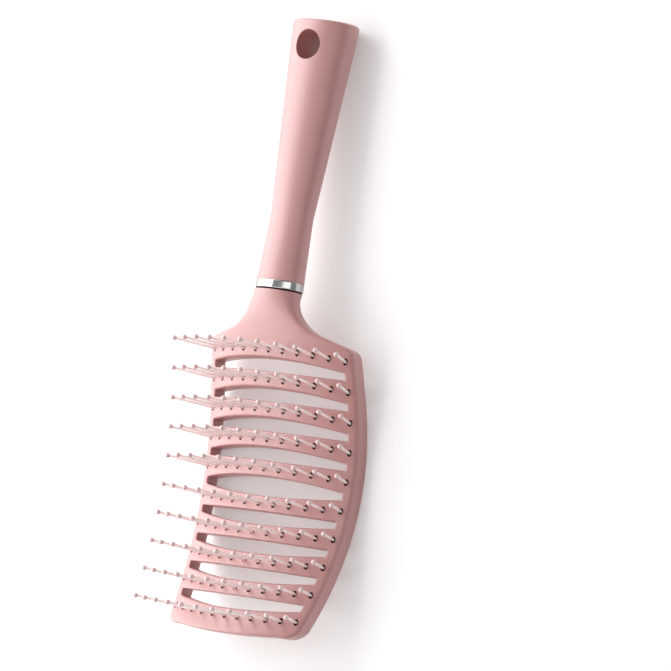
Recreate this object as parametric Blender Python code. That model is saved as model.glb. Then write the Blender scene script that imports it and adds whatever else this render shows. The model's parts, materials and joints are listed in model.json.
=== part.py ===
"""A curved vented hairbrush, lying on its back with its pins up.

The brush is laid out in its own frame: the handle's axis is Y, the pins point to +Z, X runs
across the head, and Y is 0 at the first row of pins. A parent empty then turns it about X
until the rear edges of the head and the end of the handle touch one floor at Z 0.
Lengths are in metres.
"""

import math

import bmesh
import bpy
from mathutils import Vector

# Pattern of the head
ROWS = 10
ROWS_BOWED_UP = 5
PINS_PER_ROW = 11
ROW_PITCH = 0.01145
UPPER_ROW_BOW = 0.0010
LOWER_ROW_BOW = 0.0014

# Outline of the head
HEAD_WIDTH = 0.0770
HEAD_SIDE_RADIUS = 0.400
WIDEST_FROM_FIRST_ROW = 0.0411
RIM_WIDTH = 0.0039
TIP_LAND = 0.0071
TIP_CORNER_RADIUS = 0.0060
RIB_WIDTH_MIDDLE = 0.0061
RIB_WIDTH_ENDS = 0.0088

# Curved faces of the head
LONG_CURVE_RADIUS = 0.1447
DEEPEST_FROM_FIRST_ROW = 0.0562
DEEPEST_BELOW_AXIS = 0.0105
ARCH_RADIUS = 0.0817
RISE_BELOW_FIRST_ROW = 0.0120
NECK_SLOPE = 0.39

# Walls of the head
HEAD_THICKNESS = 0.0070
FRONT_FRAME_DEPTH = 0.0044
FRONT_WALL = 0.0018
SLOT_EDGE_ROUND = 0.0008
SIDE_ROUND = 0.0014
FIT = 0.0003

# Shoulder and neck
SHOULDER_FALL = math.radians(16)
SHOULDER_FROM_FIRST_ROW = 0.0016
SHOULDER_CORNER_RADIUS = 0.0038
NECK_FILLET_RADIUS = 0.0157
NECK_FROM_FIRST_ROW = 0.0240
NECK_WIDTH = 0.0212
NECK_THICKNESS = 0.0150
OVAL_FROM_FIRST_ROW = 0.0030
COVER_TOP_RISE = 0.0018

# Pins and the strips that carry them
PIN_LENGTH = 0.0180
PIN_ROOT_DIAMETER = 0.0012
PIN_NECK_DIAMETER = 0.0009
PIN_BALL_DIAMETER = 0.0021
PIN_CROWN_ANGLE = math.radians(55)
PIN_STEP_ANGLE = math.radians(4.94)
PIN_FAN_ANGLE = math.radians(5.2)
PIN_LEAN = math.radians(2.1)
PIN_HOLE_DIAMETER = 0.0022
PIN_INSET = 0.0030
STRIP_WIDTH = 0.0020
STRIP_OVERHANG = 0.0010

# Ring
RING_LENGTH = 0.0033
RING_WALL = 0.0012
RING_WIDTH = 0.0214
RING_THICKNESS = 0.0152
RING_EDGE_ROUND = 0.0003

# Handle
GRIP_LENGTH = 0.1040
GRIP_MOUTH_WIDTH = 0.0210
GRIP_WAIST_WIDTH = 0.0189
GRIP_WAIST_FROM_MOUTH = 0.0254
GRIP_END_WIDTH = 0.0294
GRIP_FLARE_WIDTH = 0.0289
GRIP_FLARE_FROM_END = 0.0070
GRIP_EDGE_ROUND = 0.0010
GRIP_FLATNESS_SHARE = 0.708
GRIP_WALL = 0.0020
GRIP_BORE_LENGTH = 0.0800
HANGING_HOLE_DIAMETER = 0.0120
HANGING_HOLE_FROM_END = 0.0098
TANG_LENGTH = 0.0450
TANG_END_SHARE = 0.8

# Resolution of the curved shapes
HEAD_STEPS = 8
CORNER_STEPS = 2
STRAIGHT_STEPS = 3
FILLET_STEPS = 5
OVAL_STEPS = 24
HOLE_SIDES = 6
PIN_SIDES = 5
HANGING_HOLE_SIDES = 20
OVAL_EDGE = math.radians(78)
OVAL_SHARE = 0.94
OVAL_POWER = 2
BOWED_SHARE = 0.88
SHARP_ANGLE = math.radians(35)

# The turn that lays the brush on its back is found by halving this one
LARGEST_REST_ANGLE = math.radians(30)
REST_HALVINGS = 60

# Cutters run this far past what they cut
OVERRUN = 0.0010

PINK = (0.56, 0.31, 0.30, 1.0)
PINK_PIN = (0.66, 0.42, 0.41, 1.0)
STEEL = (0.62, 0.62, 0.60, 1.0)


def clear_scene():
    for item in list(bpy.data.objects):
        bpy.data.objects.remove(item, do_unlink=True)


def plastic(name, colour, roughness):
    material = bpy.data.materials.new(name)
    material.use_nodes = True
    shader = material.node_tree.nodes["Principled BSDF"]
    shader.inputs["Base Color"].default_value = colour
    shader.inputs["Roughness"].default_value = roughness
    return material


def polished_steel():
    material = plastic("polished_steel", STEEL, 0.22)
    material.node_tree.nodes["Principled BSDF"].inputs["Metallic"].default_value = 1.0
    return material


def object_from(mesh_maker, name, material=None, cutter=False):
    """An object whose mesh the maker fills in, with its faces turned out."""
    bm = bmesh.new()
    mesh_maker(bm)
    bmesh.ops.recalc_face_normals(bm, faces=bm.faces)
    mesh = bpy.data.meshes.new(name)
    bm.to_mesh(mesh)
    bm.free()
    mesh.shade_smooth()
    mesh.set_sharp_from_angle(angle=SHARP_ANGLE)
    item = bpy.data.objects.new(name, mesh)
    bpy.context.scene.collection.objects.link(item)
    if material:
        mesh.materials.append(material)
    if cutter:
        item.hide_render = True
        item.display_type = "WIRE"
    return item


def boolean(item, other, operation):
    modifier = item.modifiers.new(operation.lower(), "BOOLEAN")
    modifier.object = other
    modifier.operation = operation
    modifier.solver = "EXACT"


def half_width(y):
    """Half the head's width at a place along it: each side is one long arc."""
    offset = y + WIDEST_FROM_FIRST_ROW
    return HEAD_WIDTH / 2 - HEAD_SIDE_RADIUS + math.sqrt(HEAD_SIDE_RADIUS**2 - offset**2)


def smooth(share):
    return share * share * (3 - 2 * share)


def middle_height(y):
    """Height of the face's middle: one hollow arc, then an easy rise to the neck."""
    start = -RISE_BELOW_FIRST_ROW
    offset = min(y, start) + DEEPEST_FROM_FIRST_ROW
    drop = math.sqrt(LONG_CURVE_RADIUS**2 - offset**2)
    height = LONG_CURVE_RADIUS - drop - DEEPEST_BELOW_AXIS
    if y <= start:
        return height
    span = NECK_FROM_FIRST_ROW - start
    share = min(1, (y - start) / span)
    ends = height + (NECK_THICKNESS / 2 - height) * smooth(share)
    slopes = offset / drop * share * (1 - share) ** 2 - NECK_SLOPE * share**2 * (1 - share)
    return ends + span * slopes


def shoulder_curve():
    """Lower end of the neck's fillet, its centre and its radius, on the right."""
    turn = math.pi / 2 - SHOULDER_FALL
    slope = math.tan(SHOULDER_FALL)
    corner = half_width(SHOULDER_FROM_FIRST_ROW) - SHOULDER_CORNER_RADIUS * (1 - math.cos(turn))
    start = SHOULDER_FROM_FIRST_ROW + SHOULDER_CORNER_RADIUS * math.sin(turn)
    room = NECK_FROM_FIRST_ROW - FIT - start - (corner - NECK_WIDTH / 2) * slope
    radius = min(NECK_FILLET_RADIUS, room / (math.sin(turn) - (1 - math.cos(turn)) * slope))
    x = NECK_WIDTH / 2 + radius * (1 - math.cos(turn))
    y = start + (corner - x) * slope
    return (x, y), (NECK_WIDTH / 2 + radius, y + radius * math.sin(turn)), radius


def neck_half_width(y):
    """Half the width of the outline past the shoulder's corner."""
    (x, low), centre, radius = shoulder_curve()
    if y < low:
        return x + (low - y) / math.tan(SHOULDER_FALL)
    return centre[0] - math.sqrt(radius**2 - max(0, centre[1] - y) ** 2)


def face_height(x, y):
    """Height of the bristle side: hollow along the head and arched across it."""
    return middle_height(y) - ARCH_RADIUS + math.sqrt(ARCH_RADIUS**2 - x**2)


def row_bow(row):
    return UPPER_ROW_BOW if row < ROWS_BOWED_UP else -LOWER_ROW_BOW


def row_place(row, share):
    """Place along the head of a row's middle line, at a share of the half width."""
    return -row * ROW_PITCH + row_bow(row) * (1 - share**2)


class Line:
    """A line across the head, from a point inside the rounded edge on one side to the other.

    The edge point is its partner on the outline, and the line's inner part bows by the rise. A
    line past the neck has the half width and the thickness of an oval of its own.
    """

    def __init__(self, edge, inset, inner, rise, oval=None):
        self.edge, self.inset, self.inner, self.rise = edge, inset, inner, rise
        self.oval = oval

    def shifted(self, distance):
        edge = self.edge[0], self.edge[1] + distance
        inset = self.inset[0], self.inset[1] + distance
        return Line(edge, inset, self.inner, self.rise)

    def columns(self):
        """Plan points from left to right."""
        x, y = self.inset
        return [(-x, y)] + bowed(self.inner, y, self.rise) + [(x, y)]

    def place(self, x, y, depth, side, angle=None):
        """A point at this depth under the face, drawn to an oval towards the neck."""
        flat = Vector((x, y, face_height(x, y) - depth))
        share = (y - OVAL_FROM_FIRST_ROW) / (NECK_FROM_FIRST_ROW - OVAL_FROM_FIRST_ROW)
        if share <= 0:
            return flat
        half, thickness = self.oval or (neck_half_width(y), NECK_THICKNESS)
        if angle is None:
            angle = math.asin(max(-1, min(1, x / half * OVAL_SHARE)))
        height = side * thickness / 2 * math.cos(angle)
        return flat.lerp(Vector((half * math.sin(angle), y, height)), min(1, share) ** OVAL_POWER)


def bowed(half, y, rise):
    """Points from side to side of a line whose middle stands out by the rise."""
    shares = [2 * step / HEAD_STEPS - 1 for step in range(HEAD_STEPS + 1)]
    return [(share * half, y + rise * (1 - share**2)) for share in shares]


def rib_edge(row, direction):
    """Place, half length and rise of a rib's edge: it is wide at its ends and bowed as its row."""
    end = -row * ROW_PITCH + direction * RIB_WIDTH_ENDS / 2
    waist = direction * (RIB_WIDTH_MIDDLE - RIB_WIDTH_ENDS) / 2
    return end, half_width(end) - RIM_WIDTH, row_bow(row) + waist


def rib_line(row, direction):
    """The line just inside a rib's rounded edge."""
    end, half, rise = rib_edge(row, direction)
    y = end - direction * SLOT_EDGE_ROUND
    outer = half_width(y)
    return Line((outer, y), (outer - SIDE_ROUND, y), half + SLOT_EDGE_ROUND, rise)


def corner_points(centre, radius, start, turn, steps):
    """Pairs of outline and inset points round a corner."""
    pairs = []
    for step in range(steps + 1):
        angle = start + turn * step / steps
        pairs.append([(centre[0] + reach * math.cos(angle), centre[1] + reach * math.sin(angle))
                      for reach in (radius, radius - SIDE_ROUND)])
    return pairs


def tip_lines():
    """Lines from the tip's edge to where its corners' arcs reach the sides."""
    centre_y = -(ROWS - 1) * ROW_PITCH - TIP_LAND + TIP_CORNER_RADIUS
    centre = half_width(centre_y) - TIP_CORNER_RADIUS, centre_y
    pairs = corner_points(centre, TIP_CORNER_RADIUS, -math.pi / 2, math.pi / 2, CORNER_STEPS)
    rim_share = RIM_WIDTH / half_width(centre_y)
    return [Line(edge, inset, inset[0] * (1 - rim_share), row_bow(ROWS - 1))
            for edge, inset in pairs]


def shoulder_pairs():
    """Outline and inset points from the head's upper corner to the end of the neck."""
    turn = math.pi / 2 - SHOULDER_FALL
    corner_x = half_width(SHOULDER_FROM_FIRST_ROW) - SHOULDER_CORNER_RADIUS
    corner_centre = corner_x, SHOULDER_FROM_FIRST_ROW
    corner = corner_points(corner_centre, SHOULDER_CORNER_RADIUS, 0, turn, CORNER_STEPS)
    _, centre, radius = shoulder_curve()
    fillet = []
    for step in range(FILLET_STEPS + 1):
        angle = math.pi + turn * (1 - step / FILLET_STEPS)
        fillet.append([(centre[0] + reach * math.cos(angle), centre[1] + reach * math.sin(angle))
                       for reach in (radius, radius + SIDE_ROUND)])
    straight = []
    for step in range(1, STRAIGHT_STEPS):
        share = step / STRAIGHT_STEPS
        straight.append([tuple(a + (b - a) * share for a, b in zip(*ends))
                         for ends in zip(corner[-1], fillet[0])])
    half = NECK_WIDTH / 2
    last = [(half, NECK_FROM_FIRST_ROW), (half - SIDE_ROUND, NECK_FROM_FIRST_ROW)]
    return corner + straight + fillet + [last]


def shoulder_lines():
    """Lines across the shoulder: their middles climb evenly to the neck's end."""
    pairs = shoulder_pairs()
    low = pairs[0][1][1] + COVER_TOP_RISE
    lines = []
    for number, (edge, inset) in enumerate(pairs):
        middle = low + (NECK_FROM_FIRST_ROW - low) * number / (len(pairs) - 1)
        lines.append(Line(edge, inset, inset[0] * BOWED_SHARE, middle - inset[1]))
    return lines


def row_lines():
    """Lines along the ribs' edges from the last row to the first, and the slots between them."""
    lines = [rib_line(ROWS - 1, 1)]
    slots = {}
    for row in range(ROWS - 2, -1, -1):
        slots[len(lines) - 1] = row
        lines.append(rib_line(row, -1))
        if row:
            lines.append(rib_line(row, 1))
    return lines, slots


def slot_outline(row):
    """Plan points of the lower and upper edges of the slot that lies past this row."""
    edges = []
    for end, half, rise in (rib_edge(row + 1, 1), rib_edge(row, -1)):
        edges.append(bowed(half, end, rise))
    return edges


def quad_strip(bm, first, second):
    for number in range(len(first) - 1):
        bm.faces.new((first[number], first[number + 1], second[number + 1], second[number]))


def skin(bm, lines, slots, depths, side):
    """One face of the head with its rounded edges; returns its outline, slot loops and end row.

    Each line has three depths: of the face, of the outline's edge and of the slots' edges.
    """
    grid = []
    edges = []
    for line, (depth, edge_depth, _) in zip(lines, depths):
        grid.append([bm.verts.new(line.place(x, y, depth, side)) for x, y in line.columns()])
        x, y = line.edge
        edges.append([bm.verts.new(line.place(sign * x, y, edge_depth, side, sign * OVAL_EDGE))
                      for sign in (-1, 1)])
    tip = []
    for x, y in lines[0].columns()[1:-1]:
        tip.append(bm.verts.new(lines[0].place(x, y - SIDE_ROUND, depths[0][1], side)))
    tip = [edges[0][0]] + tip + [edges[0][1]]
    quad_strip(bm, tip, grid[0])
    for number in range(len(grid) - 1):
        a, b = grid[number], grid[number + 1]
        if number in slots:
            quad_strip(bm, a[:2], b[:2])
            quad_strip(bm, a[-2:], b[-2:])
        else:
            quad_strip(bm, a, b)
        for edge, column in ((0, 0), (1, -1)):
            bm.faces.new((edges[number][edge], a[column], b[column], edges[number + 1][edge]))
    holes = []
    for number, row in slots.items():
        depth = depths[number][2]
        rows = []
        for points, near in zip(slot_outline(row), (grid[number], grid[number + 1])):
            rows.append([bm.verts.new((x, y, face_height(x, y) - depth)) for x, y in points])
            quad_strip(bm, rows[-1], near[1:-1])
        for column, near in ((0, 1), (-1, -2)):
            bm.faces.new((rows[0][column], rows[1][column], grid[number + 1][near],
                          grid[number][near]))
        holes.append(rows[0] + rows[1][::-1])
    outline = [pair[0] for pair in edges[::-1]] + tip[1:-1] + [pair[1] for pair in edges]
    return outline, holes, grid[-1]


def close_body(bm, front, rear):
    """Walls between two skins: round the slots, round the outline and over the open end."""
    for near, far in zip(front[1], rear[1]):
        quad_strip(bm, near + near[:1], far + far[:1])
    quad_strip(bm, front[0], rear[0])
    ends = [outline[:1] + row + outline[-1:] for outline, _, row in (front, rear)]
    quad_strip(bm, *ends)


def oval_line(y, width, thickness):
    half = width / 2
    inset = half * (1 - 2 * SIDE_ROUND / NECK_WIDTH)
    return Line((half, y), (inset, y), inset * BOWED_SHARE, 0, (half, thickness))


def tang_lines():
    """The collar inside the ring and the tang inside the handle, as ovals past the neck."""
    collar = RING_WIDTH - 2 * (RING_WALL + FIT), RING_THICKNESS - 2 * (RING_WALL + FIT)
    bore = grip_bore()
    tang = bore[0] - 2 * FIT, bore[1] - 2 * FIT
    collar_end = NECK_FROM_FIRST_ROW + RING_LENGTH + FIT
    tang_end = collar_end + TANG_LENGTH
    return [oval_line(NECK_FROM_FIRST_ROW, *collar), oval_line(collar_end, *collar),
            oval_line(collar_end, *tang), oval_line(tang_end, *(TANG_END_SHARE * s for s in tang))]


def rear_depths(count):
    """Depths of the head's back with its rounded edges, for this many lines."""
    edges = HEAD_THICKNESS - SIDE_ROUND, HEAD_THICKNESS - SLOT_EDGE_ROUND
    return [(HEAD_THICKNESS, *edges)] * count


def make_head_frame(bm):
    tips = tip_lines()
    rows, slots = row_lines()
    shoulder = shoulder_lines()
    thin = tips + rows + shoulder[:2]
    full = [shoulder[1].shifted(FIT)] + shoulder[2:] + tang_lines()
    slots = {len(tips) + number: row for number, row in slots.items()}
    front = [(0, SIDE_ROUND, SLOT_EDGE_ROUND)] * len(thin + full)
    rear = [(FRONT_FRAME_DEPTH,) * 3] * len(thin) + rear_depths(len(full))
    close_body(bm, skin(bm, thin + full, slots, front, 1), skin(bm, thin + full, slots, rear, -1))


def make_rear_cover(bm):
    tips = tip_lines()
    rows, slots = row_lines()
    shoulder = shoulder_lines()
    lines = tips + rows + [shoulder[0], shoulder[1].shifted(-FIT)]
    slots = {len(tips) + number: row for number, row in slots.items()}
    front = [(FRONT_FRAME_DEPTH + FIT,) * 3] * len(lines)
    rear = rear_depths(len(lines))
    close_body(bm, skin(bm, lines, slots, front, -1), skin(bm, lines, slots, rear, -1))


def strip_reach(row):
    """Half the spread of a row's pins."""
    return half_width(-row * ROW_PITCH) - PIN_INSET


def strip_solid(bm, row, width, reach, front_depth, rear_depth):
    """A bar of this width that follows a row along the arch, between two depths."""
    loops = []
    for step in range(HEAD_STEPS + 1):
        share = 2 * step / HEAD_STEPS - 1
        x, y = share * reach, row_place(row, share)
        sides = y - width / 2, y + width / 2
        corners = [(side, front_depth) for side in sides]
        corners += [(side, rear_depth) for side in reversed(sides)]
        loops.append([bm.verts.new((x, side, face_height(x, side) - depth))
                      for side, depth in corners])
    for a, b in zip(loops, loops[1:]):
        for number in range(4):
            other = (number + 1) % 4
            bm.faces.new((a[number], a[other], b[other], b[number]))
    bm.faces.new(loops[0])
    bm.faces.new(loops[-1])


def pin_line(row, number):
    """Where a pin leaves the face, and its direction."""
    middle = (PINS_PER_ROW - 1) / 2
    step = number - middle
    share = math.sin(step * PIN_STEP_ANGLE) / math.sin(middle * PIN_STEP_ANGLE)
    x, y = share * strip_reach(row), row_place(row, share)
    fan = step * PIN_FAN_ANGLE
    direction = Vector((math.sin(fan) * math.cos(PIN_LEAN), math.sin(PIN_LEAN),
                        math.cos(fan) * math.cos(PIN_LEAN)))
    return Vector((x, y, face_height(x, y))), direction


def turned_solid(bm, start, direction, profile, sides):
    """A turned body along a direction: its profile is distances from the start and radii."""
    across = direction.cross(Vector((0, 1, 0))).normalized()
    other = direction.cross(across)
    rings = []
    for distance, radius in profile:
        ring = []
        for side in range(sides):
            angle = 2 * math.pi * side / sides
            spoke = other * math.cos(angle) + across * math.sin(angle)
            ring.append(bm.verts.new(start + direction * distance + spoke * radius))
        rings.append(ring)
    for a, b in zip(rings, rings[1:]):
        for side in range(sides):
            following = (side + 1) % sides
            bm.faces.new((a[side], a[following], b[following], b[side]))
    bm.faces.new(rings[0])
    bm.faces.new(rings[-1])


def pin_profile():
    """Shaft and ball of a pin: the root is sunk in its strip, the ball's centre is at the length."""
    ball = PIN_BALL_DIAMETER / 2
    neck = PIN_NECK_DIAMETER / 2
    neck_drop = math.sqrt(ball**2 - neck**2)
    root = -(FRONT_WALL + FIT + STRIP_WIDTH / 2)
    return [(root, PIN_ROOT_DIAMETER / 2), (PIN_LENGTH - neck_drop, neck), (PIN_LENGTH, ball),
            (PIN_LENGTH + ball * math.sin(PIN_CROWN_ANGLE), ball * math.cos(PIN_CROWN_ANGLE))]


def make_pins(bm, row):
    for number in range(PINS_PER_ROW):
        start, direction = pin_line(row, number)
        turned_solid(bm, start, direction, pin_profile(), PIN_SIDES)


def make_channels(bm):
    for row in range(ROWS):
        reach = strip_reach(row) + STRIP_OVERHANG + FIT
        strip_solid(bm, row, STRIP_WIDTH + 2 * FIT, reach, FRONT_WALL, FRONT_FRAME_DEPTH + OVERRUN)


def make_pin_holes(bm):
    depth = FRONT_WALL + OVERRUN
    radius = PIN_HOLE_DIAMETER / 2
    for row in range(ROWS):
        for number in range(PINS_PER_ROW):
            start, direction = pin_line(row, number)
            turned_solid(bm, start, direction, [(-depth, radius), (OVERRUN, radius)], HOLE_SIDES)


def pin_strip(row, material):
    reach = strip_reach(row) + STRIP_OVERHANG
    depths = FRONT_WALL + FIT, FRONT_FRAME_DEPTH
    strip = object_from(lambda bm: strip_solid(bm, row, STRIP_WIDTH, reach, *depths),
                        f"pin_strip_{row + 1:02d}", material)
    pins = object_from(lambda bm: make_pins(bm, row), f"pins_{row + 1:02d}", cutter=True)
    boolean(strip, pins, "UNION")
    return strip, pins


def oval_ring(bm, y, width, thickness):
    ring = []
    for step in range(OVAL_STEPS):
        angle = 2 * math.pi * step / OVAL_STEPS
        ring.append(bm.verts.new((width / 2 * math.cos(angle), y, thickness / 2 * math.sin(angle))))
    return ring


def bridge(bm, rings):
    for a, b in zip(rings, rings[1:]):
        for step in range(OVAL_STEPS):
            following = (step + 1) % OVAL_STEPS
            bm.faces.new((a[step], a[following], b[following], b[step]))


def make_ferrule_ring(bm):
    start = NECK_FROM_FIRST_ROW + FIT
    end = start + RING_LENGTH
    inner = RING_WIDTH - 2 * RING_WALL, RING_THICKNESS - 2 * RING_WALL
    outer = RING_WIDTH, RING_THICKNESS
    eased = RING_WIDTH - 2 * RING_EDGE_ROUND, RING_THICKNESS - 2 * RING_EDGE_ROUND
    rings = [oval_ring(bm, start, *inner), oval_ring(bm, start, *eased),
             oval_ring(bm, start + RING_EDGE_ROUND, *outer),
             oval_ring(bm, end - RING_EDGE_ROUND, *outer),
             oval_ring(bm, end, *eased), oval_ring(bm, end, *inner)]
    bridge(bm, rings + rings[:1])


def grip_mouth():
    return NECK_FROM_FIRST_ROW + RING_LENGTH + 2 * FIT


def grip_end():
    return grip_mouth() + GRIP_LENGTH


def grip_bore():
    """Width and thickness of the handle's bore."""
    waist = GRIP_WAIST_WIDTH, GRIP_WAIST_WIDTH * GRIP_FLATNESS_SHARE
    return waist[0] - 2 * GRIP_WALL, waist[1] - 2 * GRIP_WALL


def grip_oval(bm, y, width):
    return oval_ring(bm, y, width, width * GRIP_FLATNESS_SHARE)


def make_handle_grip(bm):
    mouth, end = grip_mouth(), grip_end()
    bore = grip_bore()
    eased = GRIP_END_WIDTH - 2 * GRIP_EDGE_ROUND
    outside = [grip_oval(bm, mouth, GRIP_MOUTH_WIDTH),
               grip_oval(bm, mouth + GRIP_WAIST_FROM_MOUTH, GRIP_WAIST_WIDTH),
               grip_oval(bm, end - GRIP_FLARE_FROM_END, GRIP_FLARE_WIDTH),
               grip_oval(bm, end - GRIP_EDGE_ROUND, GRIP_END_WIDTH), grip_oval(bm, end, eased)]
    inside = [oval_ring(bm, mouth + GRIP_BORE_LENGTH, *bore), oval_ring(bm, mouth, *bore)]
    bridge(bm, inside + outside)
    bm.faces.new(outside[-1])
    bm.faces.new(inside[0])


def make_hanging_hole(bm):
    y = grip_end() - HANGING_HOLE_FROM_END
    reach = GRIP_END_WIDTH * GRIP_FLATNESS_SHARE / 2 + OVERRUN
    radius = HANGING_HOLE_DIAMETER / 2
    turned_solid(bm, Vector((0, y, 0)), Vector((0, 0, 1)), [(-reach, radius), (reach, radius)],
                 HANGING_HOLE_SIDES)


def lowest(points, angle):
    """The lowest height of points that are turned about X by this angle."""
    return min(p.y * math.sin(angle) + p.z * math.cos(angle) for p in points)


def rest_angle(head, handle):
    """The turn about X that sets the head and the handle's end on one level."""
    low, high = -LARGEST_REST_ANGLE, 0.0
    for _ in range(REST_HALVINGS):
        angle = (low + high) / 2
        if lowest(head, angle) < lowest(handle, angle):
            high = angle
        else:
            low = angle
    return (low + high) / 2


def mesh_points(item):
    return [vertex.co.copy() for vertex in item.data.vertices]


def lay_on_back(pieces, cutters, cover, grip):
    """Parents everything to one empty, turned and lifted until the brush lies on Z 0."""
    angle = rest_angle(mesh_points(cover), mesh_points(grip))
    points = [point for piece in pieces for point in mesh_points(piece)]
    along = [p.y * math.cos(angle) - p.z * math.sin(angle) for p in points]
    rest = bpy.data.objects.new("brush_rest", None)
    bpy.context.scene.collection.objects.link(rest)
    rest.rotation_euler = (angle, 0, 0)
    rest.location = (0, -(min(along) + max(along)) / 2, -lowest(points, angle))
    for item in pieces + cutters:
        item.parent = rest


def main():
    clear_scene()
    body = plastic("pink_plastic", PINK, 0.45)
    pin = plastic("pink_pin_plastic", PINK_PIN, 0.35)
    steel = polished_steel()

    frame = object_from(make_head_frame, "head_frame", body)
    channels = object_from(make_channels, "channel_cutter", cutter=True)
    holes = object_from(make_pin_holes, "pin_hole_cutter", cutter=True)
    boolean(frame, channels, "DIFFERENCE")
    boolean(frame, holes, "DIFFERENCE")

    cover = object_from(make_rear_cover, "rear_cover", body)
    strips, pins = zip(*(pin_strip(row, pin) for row in range(ROWS)))
    ring = object_from(make_ferrule_ring, "ferrule_ring", steel)
    grip = object_from(make_handle_grip, "handle_grip", body)
    hanging_hole = object_from(make_hanging_hole, "hanging_hole_cutter", cutter=True)
    boolean(grip, hanging_hole, "DIFFERENCE")

    pieces = [frame, cover, *strips, ring, grip]
    lay_on_back(pieces, [channels, holes, *pins, hanging_hole], cover, grip)


main()
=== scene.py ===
"""Dresses the packed model of a curved vented hairbrush and sets it in a plain studio.

The brush has its own frame: the handle's axis is Y, the pins point to +Z, X runs across the
head, and Y is 0 at the first row of pins. The mount on the handle's end says where that frame
lies in the packed model. Lengths are in metres.
"""

import json
import math

import bmesh
import bpy
from bpy.props import FloatProperty, FloatVectorProperty, IntProperty, PointerProperty
from mathutils import Matrix, Vector


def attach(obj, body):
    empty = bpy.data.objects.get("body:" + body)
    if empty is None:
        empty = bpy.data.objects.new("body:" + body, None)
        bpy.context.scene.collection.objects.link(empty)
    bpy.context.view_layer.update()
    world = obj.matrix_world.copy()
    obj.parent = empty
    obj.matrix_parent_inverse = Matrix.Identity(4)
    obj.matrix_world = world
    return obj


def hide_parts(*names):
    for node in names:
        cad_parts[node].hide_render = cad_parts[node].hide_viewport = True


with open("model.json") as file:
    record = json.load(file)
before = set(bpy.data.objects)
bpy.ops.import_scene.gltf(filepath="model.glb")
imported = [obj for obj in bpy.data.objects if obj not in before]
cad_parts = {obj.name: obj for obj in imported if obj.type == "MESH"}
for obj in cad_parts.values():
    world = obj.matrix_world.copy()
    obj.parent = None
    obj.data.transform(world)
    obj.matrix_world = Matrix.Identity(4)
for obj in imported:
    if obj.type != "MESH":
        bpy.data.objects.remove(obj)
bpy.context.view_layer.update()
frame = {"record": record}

bl_info = {
    "name": "Curved Vented Hairbrush",
    "version": (1, 0, 0),
    "blender": (4, 5, 0),
    "location": "3D View > Sidebar > Hairbrush",
    "description": "Builds the pieces, finishes and studio of a curved vented hairbrush",
    "category": "Add Mesh",
}

# Resolution of the curved shapes
ACROSS_STEPS = 60
RIM_STEPS = 5
LINE_SPACING = 0.0013
SLOT_LINES = 3
EASE_STEPS = 6
CORNER_STEPS = 8
FILLET_STEPS = 12
SHOULDER_STEPS = 6
OVAL_STEPS = 96
PIN_SIDES = 12
BALL_STEPS = 12
HOLE_SIDES = 20
HANGING_HOLE_SIDES = 64
EDGE_STEPS = 4
HOLE_EDGE_STEPS = 3

# Edges sharper than the first angle stay sharp, and only those past the second are bevelled
SHARP_ANGLE = math.radians(35)
BEVEL_ANGLE = math.radians(55)

# Turn of the neck's oval at the outline, and the share of its half width that the face covers
OVAL_EDGE = math.radians(84)
OVAL_SHARE = 0.94

# How far a cutter goes past what it cuts, and where the ring turns flat, in radii of its edge
OVERRUN = 0.001
FLAT_FROM = 1.5

# Inputs of the shaders that no property sets
MOULDED_INPUTS = {"Subsurface Weight": 0.08, "Subsurface Radius": (1.0, 0.45, 0.4),
                  "Subsurface Scale": 0.001, "Specular IOR Level": 1.0, "Coat Weight": 1.0,
                  "Coat Roughness": 0.41, "Coat IOR": 1.6}
PIN_INPUTS = {"Subsurface Weight": 0.8, "Subsurface Radius": (1.0, 0.8, 0.75),
              "Subsurface Scale": 0.002, "Coat Weight": 0.6, "Coat Roughness": 0.2}
BALL_INPUTS = {"Coat Weight": 1.0, "Coat Roughness": 0.15}
METAL_INPUTS = {"Metallic": 1.0}
# Painted shade in the sockets, channels and seam: matte, with no gloss
PAINTED_SHADE_INPUTS = {"Roughness": 0.8, "Specular IOR Level": 0.0}
FLOOR_INPUTS = {"Roughness": 0.9, "Specular IOR Level": 0.1, "Emission Color": (1, 1, 1, 1)}

# Strength and depth of the grain, and how far the roughness varies
MOULDED_GRAIN = 0.06, 0.00004
PIN_GRAIN = 0.04, 0.00002
MOULDED_SPREAD = 0.04
METAL_SPREAD = 0.06

BLACK, WHITE = (0, 0, 0), (1, 1, 1)

# The noise's values that give the one and the other end of a mixture
RAMP_ENDS = 0.3, 0.7

# The studio's fixed sizes, in metres, and its sky's colour; the sensor's width in millimetres
FLOOR_SIZE = 6.0
FLOOR_CELLS = 8
FLOOR_DRIFT = 0.2
SKY = (1.0, 0.99, 0.98, 1)
SENSOR_WIDTH = 36
VIEW_END = 20

# Softboxes: name, properties of the power and the turn, width and length, shift to the handle
SOFTBOXES = (("left_softbox", "key", "key_angle", (1.8, 2.0), 0.15),
             ("right_strip", "strip", "strip_angle", (0.24, 1.6), 0.1),
             ("tip_softbox", "ends", "ends_angle", (0.9, 0.9), -0.9),
             ("handle_softbox", "ends", "ends_angle", (0.9, 0.9), 0.9))


def length(name, description, default):
    """A property for a length, in metres."""
    return FloatProperty(name=name, description=description, default=default, min=0.0,
                         unit="LENGTH", precision=5)


def angle(name, description, degrees):
    """A property for an angle, given in degrees and kept in radians."""
    return FloatProperty(name=name, description=description, default=math.radians(degrees),
                         unit="ROTATION")


def share(name, description, default):
    """A property for a share from 0 to 1."""
    return FloatProperty(name=name, description=description, default=default, min=0.0, max=1.0,
                         subtype="FACTOR")


def watts(name, description, default):
    """A property for the power of a light."""
    return FloatProperty(name=name, description=description + ", in watts", default=default,
                         min=0.0)


def colour(name, description, default):
    """A property for a colour."""
    return FloatVectorProperty(name=name, description=description, default=default, size=3,
                               min=0.0, max=1.0, subtype="COLOR")


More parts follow.
